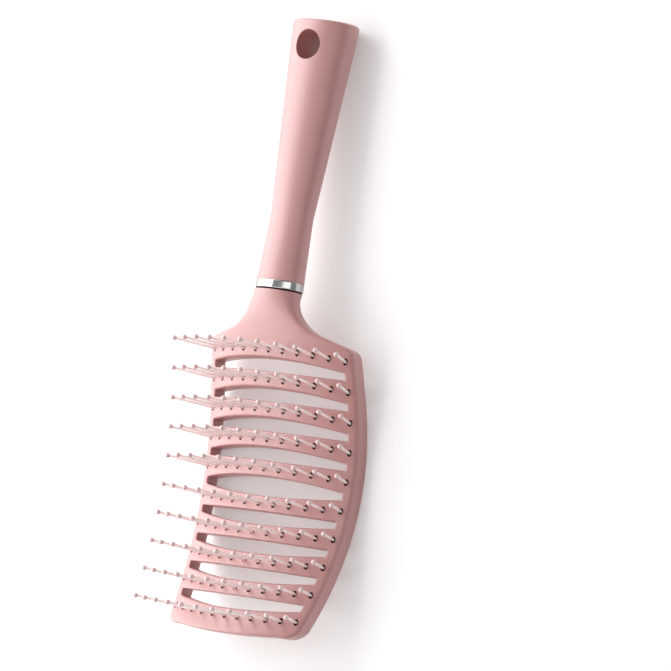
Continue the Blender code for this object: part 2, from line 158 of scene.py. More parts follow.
class BrushHead(bpy.types.PropertyGroup):
    """Sizes of the head, shoulder and neck."""

    rows: IntProperty(name="Rows", description="Rows of pins along the head", default=10, min=2)
    rows_bowed_up: IntProperty(name="Rows bowed up", default=5, min=0,
                               description="Rows whose middle stands towards the handle")
    row_pitch: length("Row pitch", "Distance from row to row", 0.01145)
    upper_bow: length("Upper bow", "How far the upper rows bow towards the handle", 0.0010)
    lower_bow: length("Lower bow", "How far the lower rows bow towards the tip", 0.0014)
    width: length("Width", "Width of the head at its widest", 0.0770)
    side_radius: length("Side radius", "Radius of the long curve of each side", 0.400)
    widest_at: length("Widest at", "Distance from the first row to the widest place", 0.0411)
    rim_width: length("Rim width", "From the end of a slot to the side", 0.0039)
    tip_land: length("Tip land", "From the last row to the tip's corners", 0.0071)
    tip_radius: length("Tip radius", "Radius of the tip's corners", 0.0060)
    rib_middle: length("Rib middle", "Width of a rib at its middle", 0.0061)
    rib_ends: length("Rib ends", "Width of a rib at its ends", 0.0088)
    slot_radius: length("Slot radius", "Radius of the slots' corners", 0.0005)
    long_radius: length("Long radius", "Radius of the hollow along the head", 0.1447)
    deepest_at: length("Deepest at", "Distance from the first row to the deepest place", 0.0562)
    deepest: length("Deepest", "The hollow's depth under the handle's axis", 0.0105)
    rise_at: FloatProperty(name="Rise at", default=-0.0120, unit="LENGTH", precision=5,
                           description="Place along the head where the face leaves its hollow")
    neck_slope: share("Neck slope", "Slope of the front where it meets the ring", 0.39)
    blend_from: length("Blend from", "From the first row to where the face turns oval", 0.0030)
    blend_power: FloatProperty(name="Blend power", default=2.0, min=0.1,
                               description="How late the face turns oval towards the neck")
    arch_radius: length("Arch radius", "Radius of the arch across the head", 0.0817)
    thickness: length("Thickness", "Thickness of the head", 0.0070)
    front_depth: length("Front depth", "Depth of the front frame", 0.0044)
    front_wall: length("Front wall", "Wall in front of a strip of pins", 0.0012)
    ease: length("Slot edge radius", "Radius of the slots' rounded edges", 0.0008)
    side_ease: length("Side edge radius", "Radius of the rounded edges round the head", 0.0014)
    neck_ease: length("Neck edge radius", "Radius of the rounded edges at the neck", 0.0034)
    fit: length("Fit", "Gap between the neck, the ring and the handle", 0.0003)
    parting: length("Parting", "Width of the seam between the head's two halves", 0.00006)
    shoulder_fall: angle("Shoulder fall", "Slope of the shoulder", 16)
    shoulder_at: length("Shoulder at", "From the first row to the shoulder's corner", 0.0016)
    shoulder_radius: length("Shoulder radius", "Radius of the shoulder's corner", 0.0038)
    neck_fillet: length("Neck fillet", "Radius between the shoulder and the neck", 0.0157)
    neck_at: length("Neck at", "From the first row to the ring", 0.0240)
    neck_width: length("Neck width", "Width of the neck", 0.0212)
    neck_thickness: length("Neck thickness", "Thickness of the neck", 0.0150)
    ridge_limit: share("Ridge limit", "Share of the outline that the bowed lines reach", 0.88)
    cover_rise: length("Cover rise", "How far the rear cover's upper edge bows", 0.0018)


class BrushPins(bpy.types.PropertyGroup):
    """Sizes of the pins and of the strips that carry them."""

    per_row: IntProperty(name="Pins per row", description="Pins in each row", default=11, min=2)
    length: length("Pin length", "From the face to the middle of the ball", 0.0180)
    root: length("Root", "Diameter of a pin at its root", 0.00120)
    neck: length("Neck", "Diameter of a pin under its ball", 0.0011)
    ball: length("Ball", "Diameter of the ball", 0.0021)
    step_angle: angle("Step", "Angle of the arch from pin to pin", 4.94)
    fan_angle: angle("Fan", "Angle between neighbouring pins", 5.2)
    lean: angle("Lean", "Lean of the pins towards the handle", 2.1)
    hole_width: length("Hole width", "Width of a pin's hole across the head", 0.0020)
    hole_length: length("Hole length", "Length of a pin's hole along the head", 0.0027)
    inset: length("Inset", "From the side of the head to the last pin", 0.0030)
    strip_width: length("Strip width", "Width of the strip that carries a row", 0.0034)
    strip_depth: length("Strip depth", "From the face down to the strip", 0.0034)
    strip_overhang: length("Strip overhang", "How far a strip goes past its last pin", 0.0010)


class BrushHandle(bpy.types.PropertyGroup):
    """Sizes of the ring and of the handle."""

    ring_length: length("Ring length", "Length of the ring", 0.0033)
    # The seam's dark look comes from a sleeve in painted shade
    seam: length("Seam", "Width of the dark seam between the neck and the ring", 0.0006)
    seam_depth: length("Seam depth", "Depth of the dark seam", 0.0004)
    ring_wall: length("Ring wall", "Wall of the ring", 0.0012)
    ring_width: length("Ring width", "Width of the ring", 0.0214)
    ring_thickness: length("Ring thickness", "Thickness of the ring", 0.0152)
    ring_edge: length("Ring edge", "Radius of the ring's edges", 0.0003)
    grip_length: length("Length", "Length of the handle", 0.1040)
    mouth_width: length("Mouth width", "Width of the handle at the ring", 0.0210)
    waist_width: length("Waist width", "Width of the handle at its waist", 0.0189)
    waist_at: length("Waist at", "From the ring's end to the waist", 0.0254)
    waist_radius: length("Waist softness", "Length over which the waist turns", 0.0040)
    end_width: length("End width", "Width of the handle's end", 0.0294)
    flare_end: length("Flare end", "Length of the nearly straight end", 0.0070)
    edge: length("Edge radius", "Radius of the end's edge", 0.0010)
    flatness: share("Flatness", "Thickness of the handle as a share of its width", 0.708)
    wall: length("Wall", "Wall of the handle at its waist", 0.0020)
    bore: length("Bore", "Depth of the handle's bore", 0.0300)
    hole: length("Hanging hole", "Diameter of the hanging hole", 0.0120)
    hole_from_end: length("Hole from end", "From the handle's end to the hole", 0.0103)
    hole_edge: length("Hole edge", "Radius of the hanging hole's edge", 0.0006)


class BrushFinish(bpy.types.PropertyGroup):
    """Colours and gloss of the pieces."""

    body: colour("Body", "Moulded plastic of the head and the handle", (0.465, 0.187, 0.179))
    body_dark: colour("Body shade", "Darker drift in the moulded plastic", (0.436, 0.171, 0.163))
    body_roughness: share("Body roughness", "Roughness of the moulded plastic", 0.50)
    pin: colour("Pin", "Softer plastic of the pins", (0.970, 0.790, 0.785))
    pin_roughness: share("Pin roughness", "Roughness of the pins", 0.30)
    # The balls' colour is a darker, greyer copy of the pins' colour: painted shade
    ball: colour("Ball", "Dipped ends of the pins", (0.700, 0.500, 0.505))
    ball_roughness: share("Ball roughness", "Roughness of the pins' ends", 0.22)
    # Painted shade: the near-black colour that stands in for the shade in the sockets, channels
    # and seam
    socket: colour("Socket", "Shade inside the pins' sockets", (0.030, 0.008, 0.008))
    metal: colour("Metal", "Bright metal of the ring", (0.500, 0.500, 0.490))
    metal_roughness: share("Metal roughness", "Roughness of the ring", 0.12)
    grain: length("Grain", "Size of the fine grain in the plastic", 0.0004)
    drift: length("Drift", "Size of the slow drift in the plastic's colour", 0.0300)


class BrushStudio(bpy.types.PropertyGroup):
    """Camera, floor and light."""

    distance: length("Distance", "From the camera to the first row's middle pin", 2.0)
    focal: FloatProperty(name="Focal length", default=273.6, min=1.0,
                         description="Lens, in millimetres, on a 36 mm sensor")
    yaw: angle("Yaw", "Turn of the camera about the handle's axis", 39.69)
    tilt: angle("Tilt", "Tilt of the camera towards the tip", 5.01)
    roll: angle("Roll", "Turn of the picture", 10.18)
    aim_right: length("Aim right", "From the first row to the middle of the picture", 0.02720)
    aim_up: length("Aim up", "From the first row up to the middle of the picture", 0.00727)
    origin_back: length("Aim back", "From the first row back to the camera's own zero", 0.0011)
    origin_up: length("Aim height", "Height of the camera's own zero over the axis", 0.0009)
    floor: colour("Floor", "Pale floor", (0.680, 0.675, 0.670))
    floor_glow: share("Floor glow", "Light that the floor itself gives", 0.26)
    world: FloatProperty(name="Sky", description="Strength of the even light", default=0.36, min=0)
    key: watts("Key", "Power of the softbox on the left", 34)
    key_angle: angle("Key angle", "Turn of the softbox about the handle's axis", -66)
    strip: watts("Strip", "Power of the strip light on the right", 2.1)
    strip_angle: angle("Strip angle", "Turn of the strip light about the handle's axis", 18)
    ends: watts("End lights", "Power of the softbox above each end", 4.5)
    ends_angle: angle("Ends angle", "Turn of the end lights about the handle's axis", -28)
    light_distance: length("Light distance", "From the brush to the lights", 1.1)


def smooth(value):
    """A share from 0 to 1 with a soft start and end."""
    return value * value * (3 - 2 * value)


def mix(a, b, t):
    """The values at a share of the way from some to others."""
    return tuple(p + (q - p) * t for p, q in zip(a, b))


def half_width(head, y):
    """Half the head's width at a place along it: each side is one long arc."""
    offset = y + head.widest_at
    return head.width / 2 - head.side_radius + math.sqrt(head.side_radius**2 - offset**2)


def middle_height(head, y):
    """Height of the face's middle: one hollow arc, then an easy rise to the neck."""
    start = head.rise_at
    offset = min(y, start) + head.deepest_at
    drop = math.sqrt(head.long_radius**2 - offset**2)
    height = head.long_radius - drop - head.deepest
    if y <= start:
        return height
    span = head.neck_at - start
    t = min(1, (y - start) / span)
    top = head.neck_thickness / 2
    ends = height * (1 - smooth(t)) + top * smooth(t)
    slopes = offset / drop * t * (1 - t) ** 2 - head.neck_slope * t**2 * (1 - t)
    return ends + span * slopes


def face_height(head, x, y):
    """Height of the bristle side: hollow along the head and arched across it."""
    return middle_height(head, y) - head.arch_radius + math.sqrt(head.arch_radius**2 - x**2)


def shoulder_curve(head):
    """Ends of the straight shoulder and the centre of the neck's fillet, on the right."""
    turn = math.pi / 2 - head.shoulder_fall
    start = (half_width(head, head.shoulder_at) - head.shoulder_radius * (1 - math.cos(turn)),
             head.shoulder_at + head.shoulder_radius * math.sin(turn))
    fillet_x = head.neck_width / 2 + head.neck_fillet * (1 - math.cos(turn))
    fillet_y = start[1] + (start[0] - fillet_x) * math.tan(head.shoulder_fall)
    centre = (head.neck_width / 2 + head.neck_fillet,
              fillet_y + head.neck_fillet * math.sin(turn))
    return start, (fillet_x, fillet_y), centre


def neck_half_width(head, y):
    """Half the width of the outline past the shoulder's corner."""
    _, fillet, centre = shoulder_curve(head)
    if y < fillet[1]:
        return fillet[0] + (fillet[1] - y) / math.tan(head.shoulder_fall)
    rise = max(0.0, centre[1] - y)
    return centre[0] - math.sqrt(head.neck_fillet**2 - rise**2)


def neck_blend(head, y):
    """Share of the neck's oval in the shape at a place along the head."""
    way = (y - head.blend_from) / (head.neck_at - head.blend_from)
    return min(1.0, max(0.0, way)) ** head.blend_power


def row_bow(head, row):
    """How far the middle of a row stands out towards the handle."""
    return head.upper_bow if row < head.rows_bowed_up else -head.lower_bow


def bowed(half, y, rise):
    """Points from side to side of a line whose middle stands out by the rise."""
    shares = [2 * step / ACROSS_STEPS - 1 for step in range(ACROSS_STEPS + 1)]
    return [(value * half, y + rise * (1 - value**2)) for value in shares]


class Line:
    """A line across the head, from a point inside the rounded edge on one side to the other.

    The edge point is its partner on the outline. The line's inner part bows by the rise. A full
    line lies past the rear cover, so the head is in one piece there.
    """

    def __init__(self, head, edge, inset, inner, rise, full=False):
        self.head, self.edge, self.inset = head, edge, inset
        self.inner, self.rise, self.full = inner, rise, full

    def towards(self, other, t):
        """The line that lies at this share of the way to another."""
        inner, rise = mix((self.inner, self.rise), (other.inner, other.rise), t)
        return Line(self.head, mix(self.edge, other.edge, t), mix(self.inset, other.inset, t),
                    inner, rise, other.full)

    def rim(self):
        """Plan points from the inset outline to the line's inner part, on the right."""
        x, y = self.inset
        return [(x + (self.inner - x) * step / RIM_STEPS, y) for step in range(RIM_STEPS)]

    def columns(self):
        """Plan points from left to right."""
        rim = self.rim()
        left = [(-x, y) for x, y in rim]
        return left + bowed(self.inner, self.inset[1], self.rise) + rim[::-1]

    def place(self, x, y, depth, side, turn=None):
        """A point at this depth under the face, drawn to an oval towards the neck."""
        flat = Vector((x, y, face_height(self.head, x, y) - depth))
        blend = neck_blend(self.head, y)
        if not blend:
            return flat
        half = neck_half_width(self.head, y)
        if turn is None:
            turn = math.asin(x / half * OVAL_SHARE)
        height = side * self.head.neck_thickness / 2 * math.cos(turn)
        return flat.lerp(Vector((half * math.sin(turn), y, height)), blend)


def rib_edge(head, row, direction):
    """Place, half length and rise of a rib's edge: wide at its ends and bowed as its row."""
    end = -row * head.row_pitch + direction * head.rib_ends / 2
    waist = direction * (head.rib_middle - head.rib_ends) / 2
    return end, half_width(head, end) - head.rim_width, row_bow(head, row) + waist


def rib_line(head, row, direction):
    """The line just inside a rib's rounded edge."""
    end, half, rise = rib_edge(head, row, direction)
    y = end - direction * head.ease
    outer = half_width(head, y)
    return Line(head, (outer, y), (outer - head.side_ease, y), half + head.ease, rise)


def arc_points(centre, radius, start, turn, steps):
    """Points round an arc, each with the direction from the centre to it."""
    points = []
    for step in range(steps + 1):
        a = start + turn * step / steps
        spoke = Vector((math.cos(a), math.sin(a)))
        points.append((Vector(centre) + spoke * radius, spoke))
    return points


def tip_lines(head):
    """Lines from the tip's edge to where its corners' arcs reach the sides."""
    y = -(head.rows - 1) * head.row_pitch - head.tip_land + head.tip_radius
    centre = half_width(head, y) - head.tip_radius, y
    inner_share = 1 - head.rim_width / half_width(head, y)
    lines = []
    corner = arc_points(centre, head.tip_radius, -math.pi / 2, math.pi / 2, CORNER_STEPS)
    for edge, spoke in corner:
        inset = edge - spoke * head.side_ease
        inner = inset.x * inner_share
        lines.append(Line(head, tuple(edge), tuple(inset), inner, row_bow(head, head.rows - 1)))
    return lines


def shoulder_points(head):
    """Outline points from the head's upper corner to the neck's end, with outward directions."""
    turn = math.pi / 2 - head.shoulder_fall
    _, fillet_start, centre = shoulder_curve(head)
    corner_centre = half_width(head, head.shoulder_at) - head.shoulder_radius, head.shoulder_at
    corner = arc_points(corner_centre, head.shoulder_radius, 0, turn, CORNER_STEPS)
    start, outward = corner[-1]
    straight = [(start.lerp(Vector(fillet_start), step / SHOULDER_STEPS), outward)
                for step in range(1, SHOULDER_STEPS)]
    fillet = arc_points(centre, head.neck_fillet, math.pi + turn, -turn, FILLET_STEPS)
    fillet = [(point, -spoke) for point, spoke in fillet]
    end = Vector((head.neck_width / 2, head.neck_at)), Vector((1, 0))
    return corner + straight + fillet + [end]


def shoulder_lines(head):
    """Lines across the shoulder: their middles climb evenly to the neck's end."""
    points = shoulder_points(head)
    low = points[0][0].y + head.cover_rise
    last, square = len(points) - 1, CORNER_STEPS // 2
    lines = []
    for number, (edge, outward) in enumerate(points):
        ease = head.side_ease + (head.neck_ease - head.side_ease) * neck_blend(head, edge.y)
        inset = edge - outward * ease
        middle = low + (head.neck_at - low) * number / last
        inner = inset.x * head.ridge_limit
        lines.append(Line(head, tuple(edge), tuple(inset), inner, middle - inset.y,
                          number > square))
    return lines


def filled(lines):
    """The lines with more between them, no further apart than the line spacing."""
    result = [lines[0]]
    for a, b in zip(lines, lines[1:]):
        gap = max(abs(b.inset[1] - a.inset[1]), abs(b.inset[1] + b.rise - a.inset[1] - a.rise))
        steps = max(1, math.ceil(gap / LINE_SPACING))
        result += [a.towards(b, step / steps) for step in range(1, steps + 1)]
    return result


def head_lines(head, upper):
    """All lines of the head up to these upper ones, and the slots as spans of line numbers."""
    lines = filled(tip_lines(head) + [rib_line(head, head.rows - 1, 1)])
    slots = []
    for row in range(head.rows - 2, -1, -1):
        below, above = lines[-1], rib_line(head, row, -1)
        slots.append((len(lines) - 1, len(lines) + SLOT_LINES, row))
        lines += [below.towards(above, step / (SLOT_LINES + 1))
                  for step in range(1, SLOT_LINES + 1)]
        lines += filled([above] + ([rib_line(head, row, 1)] if row else upper))
    return lines, slots


def slot_point(head, row, x, y):
    """The point of a slot's rounded outline that is partner to a point of the face round it."""
    lower, upper = rib_edge(head, row + 1, 1), rib_edge(head, row, -1)
    t = (y - lower[0]) / (upper[0] - lower[0])
    half = lower[1] + (upper[1] - lower[1]) * min(1, max(0, t))
    px = max(-half, min(half, x))
    bow = 1 - (px / half) ** 2
    low, high = lower[0] + lower[2] * bow, upper[0] + upper[2] * bow
    py = max(low, min(high, y))
    radius = head.slot_radius
    centre_x = math.copysign(half - radius, x)
    centre_y = max(low + radius, min(high - radius, y))
    if abs(px) > half - radius and (py < low + radius or py > high - radius):
        away = Vector((x - centre_x, y - centre_y)).normalized() * radius
        return centre_x + away.x, centre_y + away.y
    return px, py


def strip_faces(bm, first, second, closed=False):
    """Quads between two rows of points; a closed row's last point joins its first."""
    count = len(first)
    for number in range(count if closed else count - 1):
        after = (number + 1) % count
        bm.faces.new((first[number], first[after], second[after], second[number]))


class Skin:
    """One face of the head, with its rounded edges, in front (side 1) or behind (side -1)."""

    def __init__(self, bm, head, lines, slots, side, depths, rounded):
        self.bm, self.head, self.lines, self.side = bm, head, lines, side
        self.depths, self.rounded = depths, rounded
        self.grid = self.make_grid(slots)
        self.outline = self.make_outline()
        self.holes = [self.make_slot(span) for span in slots]
        self.end = self.grid[-1]

    def vert(self, number, x, y, drop=0.0, turn=None):
        depth = self.depths[number] + self.side * drop
        return self.bm.verts.new(self.lines[number].place(x, y, depth, self.side, turn))

    def make_grid(self, slots):
        """Points and quads of the face; lines inside a slot have only their rims."""
        inside = {n for first, last, _ in slots for n in range(first + 1, last)}
        grid = []
        for number, line in enumerate(self.lines):
            points = line.columns()
            keep = RIM_STEPS + 1
            if number in inside:
                points = points[:keep] + points[-keep:]
            grid.append([self.vert(number, x, y) for x, y in points])
        for number in range(len(grid) - 1):
            a, b = grid[number], grid[number + 1]
            if number in inside or number + 1 in inside:
                strip_faces(self.bm, a[:keep], b[:keep])
                strip_faces(self.bm, a[-keep:], b[-keep:])
            else:
                strip_faces(self.bm, a, b)
        return grid

    def round_off(self, start, partners, turns, radii, closed):
        """Rows of points that carry a border round its edge; returns the last row."""
        row = [vert for _, vert, _ in start]
        for step in range(1, EASE_STEPS + 1):
            a = math.pi / 2 * step / EASE_STEPS
            new = []
            for (number, _, (x, y)), (px, py), turn, radius in zip(start, partners, turns, radii):
                plan = x + (px - x) * math.sin(a), y + (py - y) * math.sin(a)
                drop = radius * (1 - math.cos(a)) if self.rounded[number] else 0.0
                new.append(self.vert(number, *plan, drop, turn and turn(math.sin(a))))
            strip_faces(self.bm, row, new, closed)
            row = new
        return row

    def make_outline(self):
        """The rounded border from the left end, round the tip, to the right end."""
        last = len(self.lines) - 1
        start, partners, turns, radii = [], [], [], []

        def add_side(number, sign):
            line = self.lines[number]
            x, y = line.inset
            first = math.asin(min(1.0, x / neck_half_width(self.head, y)) * OVAL_SHARE)
            start.append((number, self.grid[number][-1 if sign > 0 else 0], (sign * x, y)))
            partners.append((sign * line.edge[0], line.edge[1]))
            turns.append(lambda t: sign * (first + (OVAL_EDGE - first) * t))
            radii.append(math.dist(line.edge, line.inset))

        for number in range(last, -1, -1):
            add_side(number, -1)
        tip = self.lines[0].columns()
        for vert, (x, y) in list(zip(self.grid[0], tip))[1:-1]:
            start.append((0, vert, (x, y)))
            partners.append((x, y - self.head.side_ease))
            turns.append(None)
            radii.append(self.head.side_ease)
        for number in range(last + 1):
            add_side(number, 1)
        return self.round_off(start, partners, turns, radii, False)

    def make_slot(self, span):
        """The rounded border of a slot."""
        first, last, row = span
        keep = RIM_STEPS
        start = []

        def add(number, columns, reverse=False):
            points = self.lines[number].columns()
            verts = self.grid[number]
            if first < number < last:
                points = points[:keep + 1] + points[-keep - 1:]
            pairs = [(number, verts[c], points[c]) for c in columns]
            start.extend(reversed(pairs) if reverse else pairs)

        full = range(keep, len(self.grid[first]) - keep)
        add(first, full)
        for number in range(first + 1, last):
            add(number, [keep + 1])
        add(last, full, reverse=True)
        for number in range(last - 1, first, -1):
            add(number, [keep])
        partners = [slot_point(self.head, row, x, y) for _, _, (x, y) in start]
        count = len(start)
        return self.round_off(start, partners, [None] * count, [self.head.ease] * count, True)


def join_skins(bm, front, rear):
    """Walls between two skins: in the slots, round the outline and over the open end."""
    for near, far in zip(front.holes, rear.holes):
        strip_faces(bm, near, far, True)
    strip_faces(bm, front.outline, rear.outline)
    ends = [skin.outline[:1] + skin.end + skin.outline[-1:] for skin in (front, rear)]
    strip_faces(bm, *ends)


def new_object(name, build, *materials):
    """An object whose mesh a function fills in, with its faces turned out."""
    bm = bmesh.new()
    build(bm)
    bmesh.ops.recalc_face_normals(bm, faces=bm.faces)
    mesh = bpy.data.meshes.new(name)
    bm.to_mesh(mesh)
    bm.free()
    for material in materials:
        mesh.materials.append(material)
    item = bpy.data.objects.new(name, mesh)
    bpy.context.scene.collection.objects.link(item)
    return item


def cut(item, *cutters):
    """Cuts objects out of another, which takes over their materials, and deletes them."""
    for cutter in cutters:
        modifier = item.modifiers.new("cut", "BOOLEAN")
        modifier.object = cutter
        modifier.operation = "DIFFERENCE"
        modifier.solver = "EXACT"
        modifier.material_mode = "TRANSFER"
    apply_modifiers(item)
    for cutter in cutters:
        bpy.data.objects.remove(cutter, do_unlink=True)


def apply_modifiers(item):
    """Gives an object the mesh that its modifiers make."""
    graph = bpy.context.evaluated_depsgraph_get()
    mesh = bpy.data.meshes.new_from_object(item.evaluated_get(graph))
    item.modifiers.clear()
    item.data = mesh


def brush_to_model(handle, head):
    """The turn and shift from the brush's own frame to the packed model's."""
    mount = next(m for m in frame["record"]["mounts"] if m["name"] == "handle_end")
    axis = Vector(mount["axis"])
    turn = Matrix.Rotation(math.atan2(axis.z, axis.y), 4, "X")
    end = Vector((0, grip_end(head, handle), 0))
    return Matrix.Translation(Vector(mount["pos_m"]) - turn @ end) @ turn


def dress(item, slot, *nodes):
    """Puts a finished piece in its place and hides the CAD nodes that it stands for."""
    scene = bpy.context.scene
    item.data.transform(brush_to_model(scene.brush_handle, scene.brush_head))
    item.data.shade_smooth()
    item.data.set_sharp_from_angle(angle=SHARP_ANGLE)
    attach(item, "root")
    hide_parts(*nodes)


def turned_solid(bm, start, direction, profile, sides):
    """A turned body along a direction: its profile is distances from the start and radii.

    Returns its first and last ring of points.
    """
    across = direction.cross(Vector((0, 1, 0))).normalized()
    other = direction.cross(across)
    rings = []
    for distance, radius in profile:
        centre = start + direction * distance
        ring = []
        for side in range(sides):
            a = 2 * math.pi * side / sides
            spoke = other * math.cos(a) + across * math.sin(a)
            ring.append(bm.verts.new(centre + spoke * radius))
        rings.append(ring)
    for a, b in zip(rings, rings[1:]):
        strip_faces(bm, a, b, True)
    ends = rings[0], rings[-1]
    for ring in ends:
        bm.faces.new(ring)
    return ends


def strip_reach(head, pins, row):
    """Half the spread of a row's pins."""
    return half_width(head, -row * head.row_pitch) - pins.inset


def row_place(head, row, value):
    """Place along the head of a row's line, at a share of its reach from the middle."""
    return -row * head.row_pitch + row_bow(head, row) * (1 - value**2)


def strip_solid(bm, head, row, width, reach, front_depth, rear_depth):
    """A bar of this width that follows a row along the arch, between two depths."""
    loops = []
    for step in range(ACROSS_STEPS + 1):
        value = 2 * step / ACROSS_STEPS - 1
        x, y = value * reach, row_place(head, row, value)
        sides = y - width / 2, y + width / 2
        corners = [(side, front_depth) for side in sides]
        corners += [(side, rear_depth) for side in reversed(sides)]
        loops.append([bm.verts.new((x, side, face_height(head, x, side) - depth))
                      for side, depth in corners])
    for a, b in zip(loops, loops[1:]):
        strip_faces(bm, a, b, True)
    bm.faces.new(loops[0])
    bm.faces.new(loops[-1])


def pin_line(head, pins, row, number):
    """Where a pin leaves the face, and its direction."""
    middle = (pins.per_row - 1) / 2
    step = number - middle
    value = math.sin(step * pins.step_angle) / math.sin(middle * pins.step_angle)
    x, y = value * strip_reach(head, pins, row), row_place(head, row, value)
    fan = step * pins.fan_angle
    direction = Vector((math.sin(fan) * math.cos(pins.lean), math.sin(pins.lean),
                        math.cos(fan) * math.cos(pins.lean)))
    return Vector((x, y, face_height(head, x, y))), direction


def pin_channels(bm, head, pins):
    """Cutters for the channels that hold the strips."""
    for row in range(head.rows):
        reach = strip_reach(head, pins, row) + pins.strip_overhang + head.parting
        width = pins.strip_width + 2 * head.parting
        strip_solid(bm, head, row, width, reach, head.front_wall, head.front_depth + OVERRUN)


def pin_holes(bm, head, pins):
    """Oval cutters, longer along the head than across it."""
    reach = pins.hole_length / 2
    profile = [(-head.front_wall - OVERRUN, reach), (OVERRUN, reach)]
    for row in range(head.rows):
        for number in range(pins.per_row):
            start, direction = pin_line(head, pins, row, number)
            across = direction.cross(Vector((0, 1, 0))).normalized()
            for ring in turned_solid(bm, start, direction, profile, HOLE_SIDES):
                for vert in ring:
                    offset = across * (vert.co - start).dot(across)
                    vert.co += offset * (pins.hole_width / pins.hole_length - 1)


def head_frame_mesh(bm, head):
    """The front of the head with its neck, which ends at the seam under the ring."""
    upper = shoulder_lines(head)
    lines, slots = head_lines(head, upper)
    thin = len(lines) - sum(line.full for line in lines)
    step = head.parting / (lines[thin].inset[1] - lines[thin - 1].inset[1])
    lines.insert(thin, lines[thin - 1].towards(lines[thin], step))
    front = Skin(bm, head, lines, slots, 1, [0] * len(lines), [True] * len(lines))
    depths = [head.front_depth] * thin + [head.thickness] * (len(lines) - thin)
    rear = Skin(bm, head, lines, slots, -1, depths, [line.full for line in lines])
    join_skins(bm, front, rear)


class BRUSH_OT_head_frame(bpy.types.Operator):
    """Build the front of the head with its slots, pin holes, shoulder and neck"""

    bl_idname = "brush.head_frame"
    bl_label = "Head frame"

    def execute(self, context):
        head, pins = context.scene.brush_head, context.scene.brush_pins
        item = new_object("head_front", lambda bm: head_frame_mesh(bm, head),
                          finished(pink_moulded_plastic))
        # Painted shade: the channels' cutter carries the near-black material, which the cut passes
        # on to the walls it leaves in the head
        channels = new_object("channels", lambda bm: pin_channels(bm, head, pins),
                              finished(dark_socket_plastic))
        cut(item, channels, new_object("holes", lambda bm: pin_holes(bm, head, pins)))
        dress(item, "body_plastic", "head_frame")
        return {"FINISHED"}


def rear_cover_mesh(bm, head):
    """The back half of the head, which ends at the shoulder."""
    upper = [line for line in shoulder_lines(head) if not line.full]
    lines, slots = head_lines(head, upper)
    count = len(lines)
    parting = head.front_depth + head.parting
    front = Skin(bm, head, lines, slots, -1, [parting] * count, [False] * count)
    rear = Skin(bm, head, lines, slots, -1, [head.thickness] * count, [True] * count)
    join_skins(bm, front, rear)


class BRUSH_OT_rear_cover(bpy.types.Operator):
    """Build the back half of the head"""

    bl_idname = "brush.rear_cover"
    bl_label = "Rear cover"

    def execute(self, context):
        head = context.scene.brush_head
        item = new_object("head_back", lambda bm: rear_cover_mesh(bm, head),
                          finished(pink_moulded_plastic))
        dress(item, "body_plastic", "rear_cover")
        return {"FINISHED"}


def pin_profile(head, pins):
    """Shaft and ball of a pin, from its root in the strip to the crown of the ball."""
    ball, neck = pins.ball / 2, pins.neck / 2
    start = math.asin(neck / ball)
    root = -(pins.strip_depth + head.front_depth) / 2
    profile = [(root, pins.root / 2), (0, pins.root / 2)]
    for step in range(BALL_STEPS):
        a = start + (math.pi - start) * step / BALL_STEPS
        profile.append((pins.length - ball * math.cos(a), ball * math.sin(a)))
    return profile


def pins_mesh(bm, head, pins, row):
    """A row of pins on its strip: the balls take the second material, the strip the third; both
    are painted shade.
    """
    reach = strip_reach(head, pins, row) + pins.strip_overhang
    strip_solid(bm, head, row, pins.strip_width, reach, pins.strip_depth, head.front_depth)
    # The strip, seen only through the holes, is painted near-black as their shade
    for face in bm.faces:
        face.material_index = 2
    for number in range(pins.per_row):
        before = set(bm.faces)
        start, direction = pin_line(head, pins, row, number)
        turned_solid(bm, start, direction, pin_profile(head, pins), PIN_SIDES)
        for face in set(bm.faces) - before:
            reach = (face.calc_center_median() - start).dot(direction)
            face.material_index = 1 if reach > pins.length - pins.ball / 2 else 0


class BRUSH_OT_pin_strips(bpy.types.Operator):
    """Build the strips of ball-ended pins, one for each row"""

    bl_idname = "brush.pin_strips"
    bl_label = "Pin strips"

    def execute(self, context):
        head, pins = context.scene.brush_head, context.scene.brush_pins
        # The pins' plastic, the balls' painted shade and the strips' painted shade
        materials = [finished(kind)
                     for kind in (pink_pin_plastic, mauve_ball_dip, dark_socket_plastic)]
        for row in range(head.rows):
            item = new_object(f"pin_row_{row + 1:02d}",
                              lambda bm: pins_mesh(bm, head, pins, row), *materials)
            dress(item, "pin_plastic", f"pin_strip_{row + 1:02d}")
        return {"FINISHED"}


def oval_ring(bm, y, width, thickness):
    """Points round an oval that stands square to the handle's axis."""
    ring = []
    for step in range(OVAL_STEPS):
        a = 2 * math.pi * step / OVAL_STEPS
        ring.append(bm.verts.new((width / 2 * math.cos(a), y, thickness / 2 * math.sin(a))))
    return ring


def rounded_edge(y, radius, start):
    """Points round an edge, towards the handle's end: Y and distance from the full size."""
    points = []
    for step in range(EDGE_STEPS, -1, -1):
        a = start + math.pi / 2 * step / EDGE_STEPS
        points.append((y + radius * math.cos(a), radius * (math.sin(a) - 1)))
    return points


def ferrule_ring_mesh(bm, head, handle):
    """The ring, and a sleeve in the seam under it that takes the second material, a painted shade
    for the seam.
    """
    start = head.neck_at + handle.seam
    end = grip_mouth(head, handle) - head.parting
    edge = handle.ring_edge
    profile = [(start, -handle.ring_wall)]
    profile += rounded_edge(start + edge, edge, math.pi / 2)
    profile += [(start + FLAT_FROM * edge, 0), (end - FLAT_FROM * edge, 0)]
    profile += rounded_edge(end - edge, edge, 0)
    profile += [(end, -handle.ring_wall)]
    rings = [oval_ring(bm, y, handle.ring_width + 2 * reach, handle.ring_thickness + 2 * reach)
             for y, reach in profile]
    for a, b in zip(rings, rings[1:] + rings[:1]):
        strip_faces(bm, a, b, True)
    metal = set(bm.faces)
    # The sleeve is a near-black sheet that paints the shade in the seam
    inner = 2 * handle.seam_depth
    sleeve = [oval_ring(bm, y, handle.ring_width - inner, handle.ring_thickness - inner)
              for y in (head.neck_at, start)]
    strip_faces(bm, *sleeve, True)
    for ring in sleeve:
        bm.faces.new(ring)
    for face in set(bm.faces) - metal:
        face.material_index = 1


